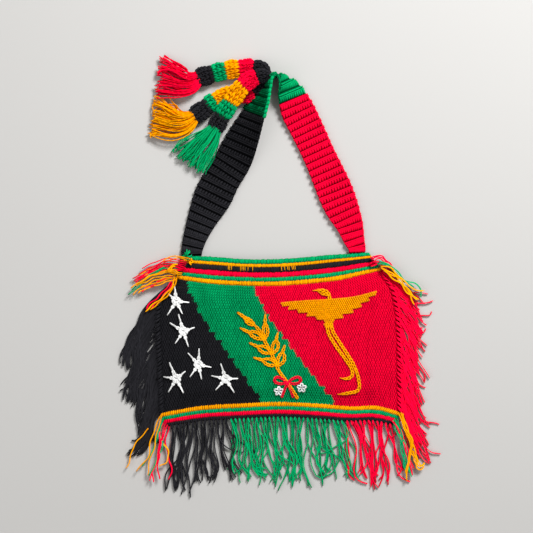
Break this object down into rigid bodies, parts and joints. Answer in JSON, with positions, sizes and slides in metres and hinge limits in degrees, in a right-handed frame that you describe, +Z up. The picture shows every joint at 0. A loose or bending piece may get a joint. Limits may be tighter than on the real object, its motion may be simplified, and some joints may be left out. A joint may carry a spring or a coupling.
{
  "type": "bilum string bag",
  "caption": "Flat crocheted shoulder bag with striped mouth and foot bands, yarn fringes on three sides, a wide strap and tasselled ties, lying on its back.",
  "frame": {"origin": "on the ground plane, below the middle of the whole bag as it lies on its back", "axes": "+Z up out of the bag's front face, +Y from the foot of the bag towards the top of the strap, +X to the right as the front is seen from above"},
  "size_m": [0.4142, 0.5599, 0.0341],
  "materials": {
    "black_yarn": "matte",
    "green_yarn": "matte",
    "red_yarn": "matte",
    "yellow_yarn": "matte",
    "white_yarn": "matte",
    "panel_crochet": "matte",
    "striped_band": "matte",
    "ringed_tie": "matte"
  },
  "bodies": {
    "root": {"back_panel": "black_yarn", "front_panel": "panel_crochet", "mouth_band_back": "striped_band", "mouth_band_front": "striped_band", "foot_border": "striped_band", "strap_left": "black_yarn", "strap_top": "green_yarn", "strap_right": "red_yarn", "tie_hub": "black_yarn", "tie_red": "ringed_tie", "tie_green": "ringed_tie", "tie_yellow": "ringed_tie", "tassel_red": "red_yarn", "tassel_green": "green_yarn", "tassel_yellow": "yellow_yarn", "fringe_left": "black_yarn", "fringe_right": "red_yarn", "fringe_foot_black": "black_yarn", "fringe_foot_green": "green_yarn", "fringe_foot_red": "red_yarn", "ends_top_left": "yellow_yarn", "ends_top_right": "green_yarn", "ends_foot_left": "yellow_yarn", "ends_foot_right": "green_yarn"}
  },
  "joints": []
}
